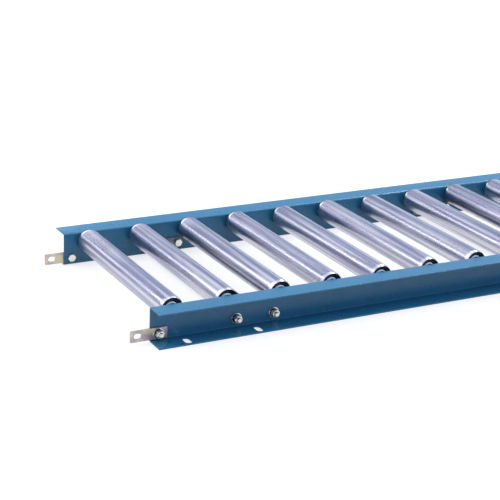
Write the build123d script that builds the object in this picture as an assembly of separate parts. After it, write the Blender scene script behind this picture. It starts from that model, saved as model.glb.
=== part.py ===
from build123d import *
import os

# Gravity roller conveyor, millimetres. X runs along the conveyor, Y across it from the near rail
# to the far rail, Z up. The origin lies on the plane that the rails stand on, in the middle of the
# overall length, joint plates included, and midway between the rails.

# Side rails: folded steel channels that open outwards
rail_height = 60.0
rail_depth = 40.0
rail_sheet = 2.5
rail_bend = 1.5
clear_width = 380.0

# Rollers: plain steel tubes that turn freely on fixed hexagon shafts
roller_count = 10
roller_pitch = 100.0
first_roller = 44.0
axle_drop = 14.0
tube_diameter = 42.7
tube_wall = 2.3
tube_to_rail = 7.5
tube_shoulder = 2.0
shaft_flats = 11.0
shaft_hole_gap = 0.2
shaft_end_proud = 1.0

# Bearings: one in each tube end, drawn closed, tight on the shaft and free in the tube
bearing_width = 12.0
bearing_recess = 2.5
bearing_sides = 20
running_gap = 0.05

# Joint plates: flat bars that tie this unit to the rail ends of the next one
plate_length = 65.0
plate_width = 20.0
plate_sheet = 3.0
plate_corner = 2.0
plate_slot_inset = 13.0
plate_hole_inset = 15.5
joint_slot_length = 13.0
joint_bolt_inset = 14.0
joint_height = 14.0

# Cross stays: pressed channels on welded feet that hold the rails apart, under the rollers
left_stay_from_roller_2 = 47.0
right_stay_from_roller_8 = 55.0
stay_width = 36.0
stay_height = 14.0
stay_sheet = 2.5
foot_sheet = 3.0
foot_width = 20.0
stay_bolt_spacing = 70.0
stay_to_tube = 3.5

# Leg slots across the bottom flanges
slot_length = 22.0
slot_width = 12.0
slot_from_web = 25.0
slot_from_end = 56.0
slot_spacing = 130.0

# Fasteners: M8 throughout, each nut drawn in one with its flat and spring washers
bolt_diameter = 8.0
bolt_flats = 13.0
bolt_head = 5.3
nut_stack = 10.0
bolt_end = 3.5
bolt_hole = 9.0

# Sizes and places that follow from the ones above
rail_length = roller_count * roller_pitch
joint_reach = plate_length - plate_hole_inset - joint_bolt_inset
joint_slot_inset = joint_reach - plate_slot_inset
left_end = joint_reach / 2 - rail_length / 2
right_end = left_end + rail_length
web_inside = clear_width / 2
web_outside = web_inside + rail_sheet
axle_height = rail_height - axle_drop
roller_places = [left_end + first_roller + roller_pitch * n for n in range(roller_count)]
tube_length = clear_width - 2 * tube_to_rail
tube_radius = tube_diameter / 2
tube_bore = tube_radius - tube_wall
bearing_radius = tube_bore - running_gap
stay_base = axle_height - tube_radius - stay_to_tube - stay_height
foot_height = stay_base + foot_width / 2
joint_bolt_x = left_end + joint_bolt_inset
stay_places = [roller_places[1] + left_stay_from_roller_2, roller_places[7] + right_stay_from_roller_8]
stay_bolt_places = [x + side * stay_bolt_spacing / 2 for x in stay_places for side in (-1, 1)]
slot_places = [left_end + slot_from_end + shift for shift in (0, slot_spacing)]
slot_places += [right_end - slot_from_end - shift for shift in (0, slot_spacing)]


def across(shape, x, y, z):
    """Turn a shape drawn along Z to lie along Y, pointing to the near side, and put it in place."""
    return Pos(x, y, z) * Rot(90, 0, 0) * shape


def both_sides(near):
    """A near side piece and its mirror image on the far side."""
    return near, mirror(near, about=Plane.XZ)


def hexagon(flats, height):
    """A hexagon bar with two corners level with its axis."""
    return extrude(RegularPolygon(flats / 2, 6, major_radius=False), height)


def rail():
    """The near rail, with the holes for shafts, stays and joint plates, and the leg slots."""
    from_web = (Align.MIN, Align.CENTER)
    outer = Rectangle(rail_depth, rail_height, align=from_web)
    outer = fillet(outer.vertices().group_by(Axis.X)[0], rail_bend + rail_sheet)
    hollow = Pos(rail_sheet, 0) * Rectangle(rail_depth, rail_height - 2 * rail_sheet, align=from_web)
    hollow = fillet(hollow.vertices().group_by(Axis.X)[0], rail_bend)
    face = Plane(origin=(left_end, -web_inside, rail_height / 2), x_dir=(0, -1, 0), z_dir=(-1, 0, 0))
    body = extrude(face * (outer - hollow), -rail_length)
    cut_depth = 2 * rail_sheet
    shaft_hole = hexagon(shaft_flats + 2 * shaft_hole_gap, cut_depth)
    round_hole = Cylinder(bolt_hole / 2, cut_depth, align=(Align.CENTER, Align.CENTER, Align.MIN))
    joint_slot = extrude(SlotOverall(joint_slot_length, bolt_hole), cut_depth)
    start = rail_sheet / 2 - web_inside
    cuts = [across(shaft_hole, x, start, axle_height) for x in roller_places]
    cuts += [across(round_hole, x, start, foot_height) for x in stay_bolt_places]
    cuts += [across(round_hole, joint_bolt_x, start, joint_height)]
    cuts += [across(joint_slot, right_end - joint_slot_inset, start, joint_height)]
    slot = extrude(SlotOverall(slot_length, slot_width, rotation=90), cut_depth, both=True)
    cuts += [Pos(x, -web_inside - slot_from_web, 0) * slot for x in slot_places]
    return body - cuts


def joint_plate():
    """The near joint plate, flat against the web inside the channel."""
    blank = Rectangle(plate_length, plate_width)
    blank = chamfer(blank.vertices(), plate_corner)
    slot_x = plate_slot_inset - plate_length / 2
    hole_x = plate_length / 2 - plate_hole_inset
    blank -= Pos(slot_x, 0) * SlotOverall(joint_slot_length, bolt_hole)
    blank -= Pos(hole_x, 0) * Circle(bolt_hole / 2)
    return across(extrude(blank, plate_sheet), joint_bolt_x - hole_x, -web_outside, joint_height)


def bolt(x, height, clamped, inside):
    """A near side bolt with its nut run on, its head on a face at inside from the middle.

    The shank is drawn six-sided to save faces, with its corners at the bolt's radius.
    """
    head = hexagon(bolt_flats, bolt_head)
    shank = extrude(RegularPolygon(bolt_diameter / 2, 6), bolt_head + clamped + nut_stack + bolt_end)
    nut = Pos(0, 0, bolt_head + clamped) * hexagon(bolt_flats, nut_stack)
    return across(head + shank + nut, x, bolt_head - inside, height)


def stay(x):
    """A cross stay: a channel that opens downwards, welded to a round-ended foot on each web."""
    foot = SlotCenterToCenter(stay_bolt_spacing, foot_width)
    foot -= [Pos(side * stay_bolt_spacing / 2, 0) * Circle(bolt_hole / 2) for side in (-1, 1)]
    near_foot = across(extrude(foot, foot_sheet), x, foot_sheet - web_inside, foot_height)
    far_foot = mirror(near_foot, about=Plane.XZ)
    base = Pos(x, 0, stay_base)
    upright = (Align.CENTER, Align.CENTER, Align.MIN)
    length = clear_width - 2 * foot_sheet
    bar = Box(stay_width, length, stay_height, align=upright)
    bar -= Box(stay_width - 2 * stay_sheet, length, stay_height - stay_sheet, align=upright)
    return base * bar + near_foot + far_foot


def tube():
    """A roller tube on the Y axis, its ends spun in to the bore."""
    end, shoulder = tube_length / 2, tube_length / 2 - tube_shoulder
    near = [(tube_bore, -end), (tube_radius, -shoulder)]
    far = [(tube_radius, shoulder), (tube_bore, end)]
    return revolve(make_face(Polyline(*near, *far, close=True)), Axis.Y)


def bearing():
    """The near bearing of a roller on the Y axis, its outside face set back from the tube's end.

    Its outside has flat sides to save faces, with only their corners at the running gap.
    """
    blank = extrude(RegularPolygon(bearing_radius, bearing_sides), bearing_width)
    blank -= hexagon(shaft_flats, bearing_width)
    return across(blank, 0, bearing_width + bearing_recess - tube_length / 2, 0)


def shaft():
    """A hexagon shaft that ends just outside both webs."""
    length = 2 * (web_outside + shaft_end_proud)
    return across(hexagon(shaft_flats, length), 0, length / 2, 0)


os.makedirs("parts", exist_ok=True)


def write(name, *solids):
    """Write one node: the solids of one piece, or of a group of like pieces."""
    flat = [solid for shape in solids for solid in shape.solids()]
    export_step(Compound(children=flat) if len(flat) > 1 else flat[0], f"parts/{name}.step")


for name, shape in zip(("near_rail", "far_rail"), both_sides(rail())):
    write(name, shape)
write("joint_plates", *both_sides(joint_plate()))
for name, x in zip(("left_stay", "right_stay"), stay_places):
    write(name, stay(x))
joint_grip = rail_sheet + plate_sheet
stay_grip = foot_sheet + rail_sheet
write("joint_bolts", *both_sides(bolt(joint_bolt_x, joint_height, joint_grip, web_inside)))
stay_bolts = [bolt(x, foot_height, stay_grip, web_inside - foot_sheet) for x in stay_bolt_places]
write("stay_bolts", *[side for near in stay_bolts for side in both_sides(near)])
for number, x in enumerate(roller_places, 1):
    spot = Pos(x, 0, axle_height)
    write(f"roller_tube_{number:02d}", spot * tube())
    write(f"bearings_{number:02d}", *[spot * piece for piece in both_sides(bearing())])
    write(f"shaft_{number:02d}", spot * shaft())
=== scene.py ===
from math import radians

import bmesh
import bpy
import numpy as np
from mathutils import Matrix, Vector
from mathutils.geometry import delaunay_2d_cdt


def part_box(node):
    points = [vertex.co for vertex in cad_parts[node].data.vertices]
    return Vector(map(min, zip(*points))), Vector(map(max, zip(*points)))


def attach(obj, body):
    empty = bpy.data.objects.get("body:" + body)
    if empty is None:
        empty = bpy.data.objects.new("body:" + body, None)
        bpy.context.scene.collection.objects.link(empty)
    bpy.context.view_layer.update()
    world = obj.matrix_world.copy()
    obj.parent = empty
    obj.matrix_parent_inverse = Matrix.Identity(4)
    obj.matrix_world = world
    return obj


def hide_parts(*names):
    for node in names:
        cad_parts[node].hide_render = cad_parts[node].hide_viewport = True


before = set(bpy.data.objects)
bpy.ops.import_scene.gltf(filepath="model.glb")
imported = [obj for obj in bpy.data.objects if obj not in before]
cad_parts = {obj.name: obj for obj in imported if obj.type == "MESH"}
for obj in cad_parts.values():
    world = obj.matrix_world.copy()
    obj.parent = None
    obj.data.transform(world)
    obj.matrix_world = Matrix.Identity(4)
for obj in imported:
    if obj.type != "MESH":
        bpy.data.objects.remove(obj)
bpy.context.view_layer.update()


# Side rails: 2.5 mm steel sheet, punched flat, folded to a channel that opens outwards and painted
# a blue enamel. The two rails are mirror images, 380 mm apart between their webs.
rail_low, rail_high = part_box("near_rail")
rail_left, rail_right = rail_low[0], rail_high[0]
rail_height = rail_high[2]
web_inside = -rail_high[1]
rail_depth, rail_sheet, fold_radius = 0.040, 0.0025, 0.004

first_roller, roller_pitch, roller_count = 0.044, 0.1, 10
shaft_places = rail_left + first_roller + roller_pitch * np.arange(roller_count)
axle_height, shaft_hole_flats = 0.046, 0.0114

stay_places = [np.mean([corner[0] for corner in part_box(stay)]) for stay in ("left_stay", "right_stay")]
stay_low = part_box("left_stay")[0][2]
foot_width, foot_hole_shifts = 0.020, (-0.035, 0.035)
foot_height = stay_low + foot_width / 2
stay_bolt_places = np.add.outer(stay_places, foot_hole_shifts).ravel()

bolt_hole, joint_slot_length, joint_height = 0.009, 0.013, 0.014
joint_bolt_inset, joint_slot_inset = 0.014, 0.0225
joint_bolt_place, joint_slot_place = rail_left + joint_bolt_inset, rail_right - joint_slot_inset

leg_slot_length, leg_slot_width, leg_slot_from_web = 0.022, 0.012, 0.025
leg_slot_from_end, leg_slot_spacing = 0.056, 0.130
leg_slot_places = [rail_left + leg_slot_from_end, rail_left + leg_slot_from_end + leg_slot_spacing,
                   rail_right - leg_slot_from_end - leg_slot_spacing, rail_right - leg_slot_from_end]


def circle(x, y, radius, corners=32, turn=0.0):
    """Points round a circle: centre plus radius times cosine and sine of equal steps."""
    angle = turn + np.arange(corners) * 2 * np.pi / corners
    return np.stack((x + radius * np.cos(angle), y + radius * np.sin(angle)), 1)


def obround(x, y, length, width, upright=False):
    """A slot's outline: a circle of the slot's width, its two halves moved apart along it.

    The circle is turned by half a step, so that none of its corners lies where it is parted.
    """
    corners = 32
    outline = circle(0, 0, width / 2, corners, np.pi / corners)
    outline[:, 0] += np.sign(outline[:, 0]) * (length - width) / 2
    if upright:
        outline = outline[:, ::-1] * (1, -1)
    return outline + (x, y)


def rectangle(x0, y0, x1, y1):
    """The four corners of a rectangle, going round it."""
    return np.array([(x0, y0), (x1, y0), (x1, y1), (x0, y1)])


def cut_sheet(outline, holes=()):
    """Flat points and faces that fill the outline and leave the holes open."""
    loops = [outline, *holes]
    starts = np.cumsum([0] + [len(loop) for loop in loops])
    rings = [list(range(a, b)) for a, b in zip(starts, starts[1:])]
    corners = [Vector(point) for point in np.concatenate(loops).tolist()]
    leave_holes_open, closeness = 5, 1e-7
    points, _, faces, *_ = delaunay_2d_cdt(corners, [], rings, leave_holes_open, closeness)
    return np.array([tuple(point) for point in points]), faces


def stood_up(points, y):
    """Flat points stood up in the plane at y: the first direction runs along the rails, the second up."""
    return np.insert(points, 1, y, axis=1)


def laid_down(points, side, z):
    """Flat points laid at height z: the second direction runs out from the web's inside face."""
    return np.stack((points[:, 0], side * (web_inside + points[:, 1]), np.full(len(points), z)), 1)


def grid_faces(rows, columns, wrapped=False):
    """Quads between neighbouring points of a grid whose points are numbered row by row."""
    across = columns if wrapped else columns - 1
    row, column = np.meshgrid(np.arange(rows - 1), np.arange(across), indexing="ij")
    a, b = row * columns + column, row * columns + (column + 1) % columns
    return np.stack((a, b, b + columns, a + columns), -1).reshape(-1, 4).tolist()


def fold(centre_out, centre_up, upward, side, steps=8):
    """A quarter-round fold along the rail: centre plus radius times cosine and sine of the turn."""
    turn = np.linspace(0, np.pi / 2, steps + 1)
    out = centre_out - fold_radius * np.cos(turn)
    up = centre_up + upward * fold_radius * np.sin(turn)
    ends = np.array([rail_left, rail_right])
    points = np.stack(np.broadcast_arrays(ends, side * (web_inside + out[:, None]), up[:, None]), -1)
    return points.reshape(-1, 3), grid_faces(steps + 1, 2)


def make_piece(name, surfaces, material, facing=None):
    """One object at the origin from several (points, faces) surfaces, joined where they touch.

    Its faces point outwards, or to the side of facing where it is an open sheet.
    """
    touching = 2e-6
    starts = np.cumsum([0] + [len(points) for points, _ in surfaces])
    faces = [[start + corner for corner in face]
             for start, (_, patch) in zip(starts.tolist(), surfaces) for face in patch]
    mesh = bpy.data.meshes.new(name)
    mesh.from_pydata(np.concatenate([points for points, _ in surfaces]), [], faces)
    shell = bmesh.new()
    shell.from_mesh(mesh)
    bmesh.ops.remove_doubles(shell, verts=shell.verts, dist=touching)
    bmesh.ops.recalc_face_normals(shell, faces=shell.faces)
    if facing is not None:
        widest = max(shell.faces, key=lambda face: face.calc_area())
        if widest.normal.dot(Vector(facing)) < 0:
            bmesh.ops.reverse_faces(shell, faces=shell.faces)
    shell.to_mesh(mesh)
    shell.free()
    mesh.polygons.foreach_set("use_smooth", np.ones(len(mesh.polygons), bool))
    mesh.materials.append(material)
    piece = bpy.data.objects.new(name, mesh)
    bpy.context.scene.collection.objects.link(piece)
    return piece


def thicken(piece, thickness):
    """Give a sheet its thickness, on the side away from its faces."""
    wall = piece.modifiers.new("sheet", "SOLIDIFY")
    wall.thickness, wall.offset, wall.use_even_offset = thickness, -1, True


def round_edges(piece, width, angle=35, rounds=2):
    """Break the edges of a piece that turn by more than an angle in degrees."""
    edge = piece.modifiers.new("edges", "BEVEL")
    edge.width, edge.segments, edge.limit_method = width, rounds, "ANGLE"
    edge.angle_limit, edge.use_clamp_overlap, edge.harden_normals = radians(angle), False, True


def surface(name, colour, metallic, roughness):
    """A material and its shader. A colour or roughness that a pattern varies is given as its mean."""
    material = bpy.data.materials.new(name)
    material.use_nodes = True
    shader = material.node_tree.nodes["Principled BSDF"]
    shader.inputs["Base Color"].default_value = (*colour, 1)
    shader.inputs["Metallic"].default_value = metallic
    shader.inputs["Roughness"].default_value = roughness
    return material, shader


def pattern(shader, scale, detail, stretch=(1, 1, 1)):
    """Noise through the piece: about scale blobs to the metre, drawn out where stretch is under 1."""
    tree = shader.id_data
    place = tree.nodes.new("ShaderNodeTexCoord")
    turn = tree.nodes.new("ShaderNodeMapping")
    turn.inputs["Scale"].default_value = stretch
    noise = tree.nodes.new("ShaderNodeTexNoise")
    noise.inputs["Scale"].default_value = scale
    noise.inputs["Detail"].default_value = detail
    noise.inputs["Roughness"].default_value = 0.55
    tree.links.new(place.outputs["Object"], turn.inputs["Vector"])
    tree.links.new(turn.outputs["Vector"], noise.inputs["Vector"])
    return noise.outputs["Fac"]


def vary(socket, amount, low, high, start=0.3, end=0.7):
    """Take a value or a colour from low to high while a pattern's amount goes from start to end."""
    tree = socket.id_data
    if np.ndim(low):
        step = tree.nodes.new("ShaderNodeValToRGB")
        first, last = step.color_ramp.elements
        first.position, last.position = start, end
        first.color, last.color = (*low, 1), (*high, 1)
    else:
        step = tree.nodes.new("ShaderNodeMapRange")
        for name, value in zip(("From Min", "From Max", "To Min", "To Max"), (start, end, low, high)):
            step.inputs[name].default_value = value
    tree.links.new(amount, step.inputs[0])
    tree.links.new(step.outputs[0], socket)


def relief(shader, height, depth):
    """Raise the surface by a pattern, up to depth in metres."""
    tree = shader.id_data
    bump = tree.nodes.new("ShaderNodeBump")
    bump.inputs["Strength"].default_value = 1.0
    bump.inputs["Distance"].default_value = depth
    tree.links.new(height, bump.inputs["Height"])
    tree.links.new(bump.outputs["Normal"], shader.inputs["Normal"])


blue_enamel, shader = surface("blue enamel", (0.018, 0.165, 0.300), 0.0, 0.30)
mottle = pattern(shader, 22, 4.0, stretch=(0.35, 1, 1))
vary(shader.inputs["Base Color"], mottle, (0.016, 0.155, 0.284), (0.020, 0.175, 0.316))
vary(shader.inputs["Roughness"], pattern(shader, 55, 4.0), 0.24, 0.36)
relief(shader, pattern(shader, 420, 2.0), 0.00003)

shaft_hole_corner = shaft_hole_flats / 2 / np.cos(np.pi / 6)
web_holes = [circle(x, axle_height, shaft_hole_corner, 6) for x in shaft_places]
web_holes += [circle(x, foot_height, bolt_hole / 2) for x in stay_bolt_places]
web_holes += [circle(joint_bolt_place, joint_height, bolt_hole / 2)]
web_holes += [obround(joint_slot_place, joint_height, joint_slot_length, bolt_hole)]
leg_slots = [obround(x, leg_slot_from_web, leg_slot_length, leg_slot_width, upright=True)
             for x in leg_slot_places]
web_outline = rectangle(rail_left, fold_radius, rail_right, rail_height - fold_radius)
web, web_faces = cut_sheet(web_outline, web_holes)
top, top_faces = cut_sheet(rectangle(rail_left, fold_radius, rail_right, rail_depth))
bottom, bottom_faces = cut_sheet(rectangle(rail_left, fold_radius, rail_right, rail_depth), leg_slots)

for name, side in (("near_rail", -1), ("far_rail", 1)):
    rail = make_piece(f"{name}_folded", [
        (stood_up(web, side * web_inside), web_faces),
        (laid_down(top, side, rail_height), top_faces),
        (laid_down(bottom, side, 0), bottom_faces),
        fold(fold_radius, rail_height - fold_radius, 1, side),
        fold(fold_radius, fold_radius, -1, side),
    ], blue_enamel, facing=(0, -side, 0))
    thicken(rail, rail_sheet)
    round_edges(rail, 0.0004)
    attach(rail, "frame")
    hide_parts(name)


# Cross stays: a 2.5 mm sheet channel that opens downwards, welded at each end to a round-ended
# foot of 3 mm bar, zinc plated and dull, its colour darkened as painted shade. Two bolts through
# each foot tie the rails.
stay_width, stay_height, stay_sheet, stay_fold = 0.036, 0.014, 0.0025, 0.004
foot_length, foot_sheet = 0.090, 0.003
weld_radius, seam_points = 0.0013, 90
stay_top, stay_side = stay_low + stay_height, stay_width / 2
foot_face = web_inside - foot_sheet

# Painted shade: the zinc's colour is darkened and blued for the shadowed floor and the web it reflects.
dull_zinc_with_painted_shade, shader = surface("dull zinc plate darkened as painted shade", (0.16, 0.19, 0.235), 1.0, 0.43)
tint = pattern(shader, 60, 3.0)
vary(shader.inputs["Base Color"], tint, (0.13, 0.16, 0.21), (0.19, 0.22, 0.26), 0.38, 0.62)
vary(shader.inputs["Roughness"], pattern(shader, 160, 4.0), 0.34, 0.52)
relief(shader, pattern(shader, 500, 3.0), 0.00004)

turn = np.linspace(0, np.pi / 2, 7)
left_fold = np.stack((-stay_side + stay_fold * (1 - np.cos(turn)),
                      stay_top - stay_fold * (1 - np.sin(turn))), 1)
right_fold = left_fold[::-1] * (-1, 1)
section = np.concatenate(([(-stay_side, stay_low)], left_fold, right_fold, [(stay_side, stay_low)]))
corners_reached, seam_reached = np.linspace(0, 1, len(section)), np.linspace(0, 1, seam_points)
seam = np.stack([np.interp(seam_reached, corners_reached, part) for part in section.T], 1)


def bead(line, radius, corners=10):
    """A weld bead: a circle carried along a line, swelling and shrinking like overlapping drops.

    Its radius grows by the swell times the size of a sine of the way along, and is nothing at both ends.
    """
    drop_length, swell = 0.0022, 0.12
    across = np.array((0, 1, 0))
    along = np.gradient(line, axis=0)
    along /= np.linalg.norm(along, axis=1)[:, None]
    level = np.cross(along, across)
    reach = np.concatenate(([0], np.cumsum(np.linalg.norm(np.diff(line, axis=0), axis=1))))
    size = radius * (1 + swell * np.abs(np.sin(reach / drop_length * np.pi)))
    size[[0, -1]] = 0
    turn = (np.arange(corners) * 2 * np.pi / corners)[None, :, None]
    ring = np.cos(turn) * level[:, None, :] + np.sin(turn) * across
    points = line[:, None, :] + size[:, None, None] * ring
    return points.reshape(-1, 3), grid_faces(len(line), corners, True)


for name, x in zip(("left_stay", "right_stay"), stay_places):
    ends = np.array([-foot_face, foot_face])
    folded = np.stack(np.broadcast_arrays(x + section[:, :1], ends, section[:, 1:]), -1)
    bar = make_piece(f"{name}_channel", [(folded.reshape(-1, 3), grid_faces(len(section), 2))], dull_zinc_with_painted_shade,
                     facing=(0, 0, 1))
    thicken(bar, stay_sheet)
    round_edges(bar, 0.0004)
    foot_holes = [circle(x + shift, foot_height, bolt_hole / 2) for shift in foot_hole_shifts]
    outline, faces = cut_sheet(obround(x, foot_height, foot_length, foot_width), foot_holes)
    for side, word in ((-1, "near"), (1, "far")):
        foot = make_piece(f"{name}_{word}_foot", [(stood_up(outline, side * foot_face), faces)], dull_zinc_with_painted_shade,
                          facing=(0, -side, 0))
        thicken(foot, foot_sheet)
        round_edges(foot, 0.0009, rounds=3)
        weld_line = stood_up(seam + (x, 0), side * foot_face)
        weld = make_piece(f"{name}_{word}_weld", [bead(weld_line, weld_radius)], dull_zinc_with_painted_shade)
        for piece in (foot, weld):
            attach(piece, "frame")
    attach(bar, "frame")
    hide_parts(name)


# Shafts: 11 mm hexagon bars of drawn steel, a flat at the bottom, that the hexagon holes of both
# webs keep from turning. Their ends are chamfered and stand 1 mm outside the webs.
shaft_side, shaft_chamfer, shaft_proud = 0.0055, 0.0006, 0.001
shaft_end = web_inside + rail_sheet + shaft_proud

bright_steel, shader = surface("drawn steel", (0.69, 0.69, 0.72), 1.0, 0.28)
draw_lines = pattern(shader, 900, 2.0, stretch=(1, 0.02, 1))
tint = pattern(shader, 120, 3.0, stretch=(1, 0.15, 1))
vary(shader.inputs["Base Color"], tint, (0.62, 0.62, 0.66), (0.76, 0.76, 0.78))
vary(shader.inputs["Roughness"], draw_lines, 0.20, 0.36)
relief(shader, draw_lines, 0.00002)


def turned(profile, x, side, corners=96, radius_at=None):
    """A surface turned on a roller's axis from (radius, place across the conveyor) points.

    Each point of the profile goes round the axis as radius times cosine and sine of the angle.
    With radius_at, the radius is that function of the profile's radius and the angle.
    """
    profile = np.asarray(profile, float)
    angle = np.arange(corners) * 2 * np.pi / corners
    radius = np.repeat(profile[:, :1], corners, 1)
    if radius_at is not None:
        radius = radius_at(radius, angle[None, :])
    place = np.stack((x + radius * np.cos(angle), np.repeat(side * profile[:, 1:], corners, 1),
                      axle_height + radius * np.sin(angle)), -1)
    return place.reshape(-1, 3), grid_faces(len(profile), corners, True)


def hexagon(radius, angle):
    """Distance to a hexagon's side: half its flats over the cosine of the angle from a flat's middle."""
    return radius / np.cos(np.mod(angle, np.pi / 3) - np.pi / 6)


half_bar = [(shaft_side, shaft_end - shaft_chamfer), (shaft_side - shaft_chamfer, shaft_end), (0, shaft_end)]
bar = [(radius, -place) for radius, place in half_bar[::-1]] + half_bar
for number, x in enumerate(shaft_places, 1):
    shaft = make_piece(f"hexagon_shaft_{number:02d}", [turned(bar, x, 1, 6, hexagon)], bright_steel)
    round_edges(shaft, 0.0003, 25)
    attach(shaft, "frame")
    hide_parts(f"shaft_{number:02d}")


# Bearings: in each end of a tube a black moulded housing, whose flange covers the tube's end, holds
# a ball bearing with a domed steel cup. Its inner ring sits on the hexagon shaft.
tube_to_rail, inner_ring_radius = 0.0075, 0.0078
tube_end = web_inside - tube_to_rail

black_moulding, shader = surface("black moulding", (0.010, 0.010, 0.013), 0.0, 0.43)
vary(shader.inputs["Roughness"], pattern(shader, 350, 3.0), 0.34, 0.52)
relief(shader, pattern(shader, 900, 2.0), 0.00003)
pressed_steel, shader = surface("pressed steel", (0.795, 0.795, 0.815), 1.0, 0.27)
vary(shader.inputs["Base Color"], pattern(shader, 130, 2.0), (0.75, 0.75, 0.78), (0.84, 0.84, 0.85))
vary(shader.inputs["Roughness"], pattern(shader, 260, 3.0), 0.20, 0.34)

# Both rings as (radius, depth behind the tube's end), out from the bore, round the outside and back
housing_ring = [(0.0141, 0.0100), (0.0141, 0.0034), (0.0144, 0.0026), (0.0152, 0.0019), (0.0166, 0.0011),
                (0.0182, 0.0005), (0.0191, 0.0003), (0.0196, 0.0005), (0.0198, 0.0009), (0.0196, 0.0013),
                (0.0189, 0.0014), (0.0189, 0.0145), (0.0150, 0.0145), (0.0141, 0.0100)]
bearing_ring = [(0.0055, 0.0110), (0.0055, 0.0030), (0.0059, 0.0026), (0.0073, 0.0026), (0.0077, 0.0030),
                (0.0078, 0.0060), (0.0086, 0.0062), (0.0089, 0.0034), (0.0094, 0.0027), (0.0102, 0.0026),
                (0.0112, 0.0030), (0.0122, 0.0037), (0.0131, 0.0047), (0.0137, 0.0059), (0.0140, 0.0072),
                (0.0140, 0.0110), (0.0055, 0.0110)]


def seated_on_hexagon(radius, angle):
    """The bore follows the hexagon bar, and the shape is round from the inner ring's outside on."""
    share = np.clip((inner_ring_radius - radius) / (inner_ring_radius - shaft_side), 0, 1)
    return radius + share * (hexagon(shaft_side, angle) - shaft_side)


def in_both_ends(ring, x, radius_at=None):
    """A ring turned in each end of a roller, from (radius, depth behind the tube's end) points."""
    profile = [(radius, tube_end - depth) for radius, depth in ring]
    return [turned(profile, x, side, 72, radius_at) for side in (-1, 1)]


for number, x in enumerate(shaft_places, 1):
    housing = make_piece(f"bearing_housings_{number:02d}", in_both_ends(housing_ring, x), black_moulding)
    bearing = make_piece(f"bearing_rings_{number:02d}", in_both_ends(bearing_ring, x, seated_on_hexagon),
                         pressed_steel)
    for piece in (housing, bearing):
        round_edges(piece, 0.00012, 28)
        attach(piece, "frame")
    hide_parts(f"bearings_{number:02d}")


# Roller tubes: zinc plated steel tube, drawn in at both ends to a rounded shoulder behind the flanges
# of the bearing housings. Long streaks are left by the drawing. Each tube turns with its own roller.
tube_radius, bore, housing_cover = 0.0213, 0.01905, 0.0015
neck_length, neck_drop, neck_slope, lip = 0.0085, 0.0017, radians(22), 0.0004
wall_end = tube_end - housing_cover

zinc_tube, shader = surface("zinc plated tube", (0.495, 0.49, 0.575), 1.0, 0.30)
streaks = pattern(shader, 165, 0.0, stretch=(1, 0.02, 1))
clouds = pattern(shader, 40, 1.0, stretch=(1, 0.5, 1))
vary(shader.inputs["Base Color"], streaks, (0.37, 0.37, 0.48), (0.62, 0.61, 0.67), 0.42, 0.58)
vary(shader.inputs["Roughness"], clouds, 0.26, 0.34)

# The neck's radius falls with the square of the way along it, and its lip is rolled round an arc
along = np.linspace(0, 1, 9)
neck = np.stack((tube_radius - neck_drop * along ** 2, wall_end - lip - neck_length * (1 - along)), 1)
curl = np.linspace(neck_slope, np.pi / 2, 6)[1:]
rolled = neck[-1] + lip * np.stack((np.cos(curl) - 1, np.sin(curl)), 1)
mouth = np.array([(bore + 0.0001, wall_end - 0.0002), (bore, wall_end - 0.0006)])
half = np.concatenate((neck, rolled, mouth))
wall = np.concatenate((half, half[::-1] * (1, -1), half[:1]))

for number, x in enumerate(shaft_places, 1):
    tube = make_piece(f"zinc_tube_{number:02d}", [turned(wall, x, 1, 128)], zinc_tube)
    tube.data.set_sharp_from_angle(angle=radians(50))
    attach(tube, f"roller_{number:02d}")
    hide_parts(f"roller_tube_{number:02d}")


# Joint plates: flat bar 20 by 3 mm, sheared to 65 mm with its corners broken, punched and zinc
# plated. Each lies outside a web, and its free end goes to the next unit's rail.
plate_length, plate_width, plate_sheet = 0.065, 0.020, 0.003
plate_hole_inset, plate_slot_inset = 0.0155, 0.013
plate_left = joint_bolt_place + plate_hole_inset - plate_length
plate_middle = plate_left + plate_length / 2
plate_outside = web_inside + rail_sheet + plate_sheet

plated, shader = surface("yellow zinc plate", (0.57, 0.49, 0.43), 1.0, 0.46)
tint = pattern(shader, 47, 4.0)
vary(shader.inputs["Base Color"], tint, (0.50, 0.40, 0.45), (0.64, 0.58, 0.41), 0.42, 0.58)
vary(shader.inputs["Roughness"], pattern(shader, 160, 4.0), 0.38, 0.54)
relief(shader, pattern(shader, 500, 3.0), 0.00004)

broken = np.array([(0, 0.0015), (0.0003, 0.0007), (0.0007, 0.0003), (0.0015, 0)])
corner = (plate_length / 2, plate_width / 2) - broken
round_the_plate = [corner, corner[::-1] * (-1, 1), corner * (-1, -1), corner[::-1] * (1, -1)]
plate_holes = [obround(plate_left + plate_slot_inset, joint_height, joint_slot_length, bolt_hole),
               circle(joint_bolt_place, joint_height, bolt_hole / 2)]
outline, faces = cut_sheet(np.concatenate(round_the_plate) + (plate_middle, joint_height), plate_holes)
for side, word in ((-1, "near"), (1, "far")):
    plate = make_piece(f"{word}_joint_plate", [(stood_up(outline, side * plate_outside), faces)], plated,
                       facing=(0, side, 0))
    thicken(plate, plate_sheet)
    round_edges(plate, 0.0004)
    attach(plate, "frame")
    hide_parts("joint_plates")


# Bolts and nuts: M8, 13 mm over flats, bright zinc plated, with the usual 30 degree chamfers. The
# heads are inside the rails. A wide flat washer, a blackened spring washer, its black also painted
# shade round the nut, and a nut follow outside, each turned as it was tightened.
nut_side, head_height, nut_height = 0.0065, 0.0053, 0.0064
shank_radius, thread_depth, thread_pitch, bolt_end = 0.004, 0.0005, 0.00125, 0.0035
flat_radius, flat_height = 0.0095, 0.0014
spring_radius, spring_height, spring_rise, spring_reach = 0.0076, 0.0019, 0.0003, 0.97
nut_bore, washer_bore, closed_bore = shank_radius - 0.0002, shank_radius + 0.0002, 1e-5
washers = flat_height + spring_height + spring_rise

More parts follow.
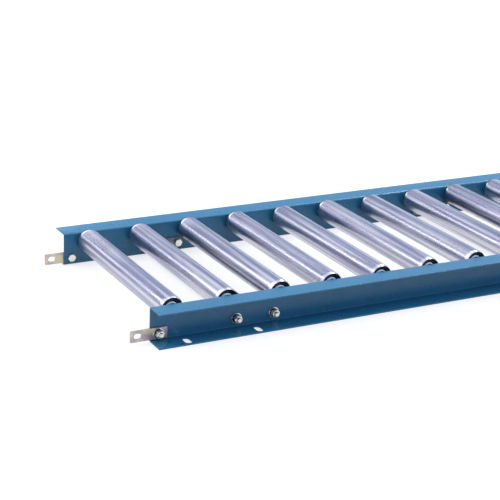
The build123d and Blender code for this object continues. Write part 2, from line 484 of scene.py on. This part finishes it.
bright_zinc, shader = surface("bright zinc plate", (0.74, 0.715, 0.66), 1.0, 0.16)
vary(shader.inputs["Base Color"], pattern(shader, 110, 2.0), (0.66, 0.64, 0.66), (0.82, 0.79, 0.66))
vary(shader.inputs["Roughness"], pattern(shader, 300, 3.0), 0.10, 0.22)
# The spring washers are blackened steel, and their black is also painted shade: a dark ring round each nut.
black_steel_as_painted_shade, shader = surface("blackened spring steel, also painted shade", (0.032, 0.031, 0.035), 1.0, 0.32)
vary(shader.inputs["Base Color"], pattern(shader, 260, 2.0), (0.022, 0.022, 0.028), (0.042, 0.040, 0.042))
vary(shader.inputs["Roughness"], pattern(shader, 700, 3.0), 0.24, 0.40)


def hexagon_body(height, bore_radius, both_ends, turn, corners=48):
    """A hexagon nut or head standing on z = 0, as rings round its axis from bore to bore.

    Where the cone trims the hexagon, each side's edge drops by the corner's overhang times the
    tangent of 30 degrees, which leaves the arcs that a real chamfer cuts on the flats.
    """
    angle = np.arange(corners) * 2 * np.pi / corners
    side = hexagon(nut_side, angle)
    trim_radius, countersink = 0.95 * nut_side, 0.0005
    drop = (side - trim_radius) * np.tan(radians(30))
    trimmed, nothing, full = np.full(corners, trim_radius), np.zeros(corners), np.full(corners, height)
    hole, mouth = np.full(corners, bore_radius), np.full(corners, bore_radius + countersink)
    rings = [(hole, full / 2), (hole, full - countersink), (mouth, full)]
    rings += [(trimmed, full), (side, full - drop)]
    rings += [(side, drop), (trimmed, nothing)] if both_ends else [(side, nothing)]
    rings += [(mouth, nothing), (hole, nothing + countersink), (hole, full / 2)]
    cosine, sine = np.cos(angle + turn), np.sin(angle + turn)
    points = np.stack([np.stack((radius * cosine, radius * sine, z), 1) for radius, z in rings])
    return points.reshape(-1, 3), grid_faces(len(rings), corners, True)


def washer(outer, height, rise=0.0, steps=48):
    """A ring of rectangular section round the bolt, standing on z = 0.

    With a rise it is a spring washer: it climbs evenly round the bolt, and its ends stay apart.
    """
    turn = np.linspace(0, spring_reach if rise else 1, steps + 1)[:, None]
    edge = 0.0002
    profile = np.array([(washer_bore, 0), (outer - edge, 0), (outer, edge), (outer, height - edge),
                        (outer - edge, height), (washer_bore, height), (washer_bore, 0)])
    points = np.stack((profile[:, 0] * np.cos(2 * np.pi * turn), profile[:, 0] * np.sin(2 * np.pi * turn),
                       profile[:, 1] + rise * turn), -1)
    faces = grid_faces(steps + 1, len(profile))
    if rise:
        cut = list(range(len(profile) - 1))
        faces += [cut, [steps * len(profile) + corner for corner in cut[::-1]]]
    return points.reshape(-1, 3), faces


def threaded(length, start, steps=60, corners=24):
    """A bolt's shank: its radius falls and rises like a saw along a helix, and its end is chamfered.

    A ring of no radius closes each end.
    """
    end_drop, end_slope = 0.0007, 1.2
    along = np.linspace(0, length, steps)[:, None]
    angle = (np.arange(corners) * 2 * np.pi / corners)[None, :]
    saw = np.abs(np.mod(along / thread_pitch - angle / (2 * np.pi), 1) - 0.5) * 2
    radius = shank_radius - thread_depth * saw
    radius = np.minimum(radius, shank_radius - end_drop + (length - along) * end_slope)
    radius = np.pad(radius, ((1, 1), (0, 0)))
    height = start + np.pad(along, ((1, 1), (0, 0)), mode="edge") + 0 * angle
    points = np.stack((radius * np.cos(angle), radius * np.sin(angle), height), -1)
    return points.reshape(-1, 3), grid_faces(steps + 2, corners, True)


def bolted(x, side, height, inside, clamped, turn):
    """The surfaces of one bolt with its flat washer and nut, and last of its spring washer."""
    outside = head_height + clamped
    nut_turn = turn * 2.3 + 0.4
    head, head_faces = hexagon_body(head_height, closed_bore, False, turn)
    flat, flat_faces = washer(flat_radius, flat_height)
    spring, spring_faces = washer(spring_radius, spring_height, spring_rise)
    nut, nut_faces = hexagon_body(nut_height, nut_bore, True, nut_turn)
    parts = [(head * (1, 1, -1) + (0, 0, head_height), head_faces),
             (flat + (0, 0, outside), flat_faces), (nut + (0, 0, outside + washers), nut_faces),
             threaded(clamped + washers + nut_height + bolt_end, head_height),
             (spring + (0, 0, outside + flat_height), spring_faces)]
    base = inside - head_height
    return [(np.stack((x + shape[:, 0], side * (base + shape[:, 2]), height + shape[:, 1]), 1), shape_faces)
            for shape, shape_faces in parts]


joint_grip, stay_grip = rail_sheet + plate_sheet, rail_sheet + foot_sheet
joint_turns = iter((0.35, 0.1))
stay_turns = iter((0.2, 0.7, 0.45, 0.05, 0.9, 0.3, 0.6, 0.15))
joint_set = [bolted(joint_bolt_place, side, joint_height, web_inside, joint_grip, next(joint_turns))
             for side in (-1, 1)]
stay_set = [bolted(x, side, foot_height, foot_face, stay_grip, next(stay_turns))
            for x in stay_bolt_places for side in (-1, 1)]
for name, fasteners in (("joint_bolts", joint_set), ("stay_bolts", stay_set)):
    bright_parts = [patch for parts in fasteners for patch in parts[:-1]]
    group = make_piece(f"{name}_and_nuts", bright_parts, bright_zinc)
    springs = make_piece(f"{name}_spring_washers", [parts[-1] for parts in fasteners], black_steel_as_painted_shade)
    for piece in (group, springs):
        piece.data.set_sharp_from_angle(angle=radians(28))
        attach(piece, "frame")
    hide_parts(name)


# Studio: a wide white floor in a pale blue room that is darker to the left, wide soft lights overhead,
# to the left and low behind, three smaller ones behind and to the right, and the camera where the
# photograph was taken from.
white_floor = bpy.data.materials.new("white floor")
white_floor.use_nodes = True
nodes, links = white_floor.node_tree.nodes, white_floor.node_tree.links
paper = nodes["Principled BSDF"]
paper.inputs["Base Color"].default_value = (0.40, 0.40, 0.40, 1)
paper.inputs["Roughness"].default_value = 1.0
paper.inputs["Specular IOR Level"].default_value = 0.0
glow = nodes.new("ShaderNodeEmission")
glow.inputs["Strength"].default_value = 0.68
glowing_paper = nodes.new("ShaderNodeAddShader")
links.new(paper.outputs[0], glowing_paper.inputs[0])
links.new(glow.outputs[0], glowing_paper.inputs[1])

seen = nodes.new("ShaderNodeLightPath")
seen_direct = seen.outputs["Is Camera Ray"]
for ray in ("Is Glossy Ray", "Is Transmission Ray"):
    either = nodes.new("ShaderNodeMath")
    either.operation = "MAXIMUM"
    links.new(seen_direct, either.inputs[0])
    links.new(seen.outputs[ray], either.inputs[1])
    seen_direct = either.outputs[0]
choose = nodes.new("ShaderNodeMixShader")
links.new(seen_direct, choose.inputs["Fac"])
links.new(paper.outputs[0], choose.inputs[1])
links.new(glowing_paper.outputs[0], choose.inputs[2])
links.new(choose.outputs[0], nodes["Material Output"].inputs["Surface"])

floor_radius, floor_corners, floor_level = 60.0, 64, -0.0002
rim = np.arange(floor_corners)
disc = np.insert(np.vstack(((0, 0), circle(0, 0, floor_radius, floor_corners))), 2, floor_level, axis=1)
wedges = np.stack((0 * rim, 1 + rim, 1 + (rim + 1) % floor_corners), 1).tolist()
floor = make_piece("floor", [(disc, wedges)], white_floor, facing=(0, 0, 1))

room = bpy.data.worlds.new("studio")
bpy.context.scene.world = room
room.use_nodes = True
direction = room.node_tree.nodes.new("ShaderNodeTexCoord")
direction_parts = room.node_tree.nodes.new("ShaderNodeSeparateXYZ")
room.node_tree.links.new(direction.outputs["Generated"], direction_parts.inputs["Vector"])
room_colour = room.node_tree.nodes["Background"].inputs["Color"]
vary(room_colour, direction_parts.outputs["X"], (0.37, 0.42, 0.58), (0.76, 0.90, 1.10), 0.0, 1.0)


def softbox(name, place, aim, width, height, brightness):
    """A rectangular light at place, facing aim; its power is pi times its area and brightness."""
    light = bpy.data.lights.new(name, "AREA")
    light.shape, light.size, light.size_y = "RECTANGLE", width, height
    light.energy = np.pi * width * height * brightness
    lamp = bpy.data.objects.new(name, light)
    lamp.matrix_world = (Matrix.Translation(place)
                         @ (Vector(aim) - Vector(place)).to_track_quat("-Z", "Y").to_matrix().to_4x4())
    bpy.context.scene.collection.objects.link(lamp)


softbox("overhead", (0.4, 0.2, 4.0), (0.4, 0.1, 0), 6.0, 5.5, 1.25)
softbox("left window", (-1.9, 0.9, 1.45), (0, 0, 0.05), 1.9, 1.7, 1.8)
softbox("back left lamp", (-1.54, 2.0, 0.97), (0, 0, 0.05), 0.46, 0.28, 4.5)
softbox("back strip", (-0.25, 2.0, 1.62), (0, 0, 0.05), 1.0, 0.18, 2.2)
softbox("right lamp", (2.1, 1.3, 2.6), (0.3, 0.19, 0.06), 0.9, 0.4, 26.0)
softbox("low back panel", (-0.2, 3.0, 0.55), (0, 0, 0.05), 1.6, 0.9, 2.6)

camera = bpy.data.objects.new("camera", bpy.data.cameras.new("camera"))
camera.data.sensor_width, camera.data.lens = 36.0, 108.794
camera.data.clip_end = 200
place = (-1.40824, -2.23779, 0.95842)
right = (0.88594, -0.462245, 0.03794)
up = (0.123114, 0.313248, 0.941657)
back = (-0.447161, -0.829581, 0.334428)
camera.matrix_world = Matrix.Translation(place) @ Matrix((right, up, back)).transposed().to_4x4()
bpy.context.scene.collection.objects.link(camera)
bpy.context.scene.camera = camera
bpy.context.scene.view_settings.view_transform = "Standard"
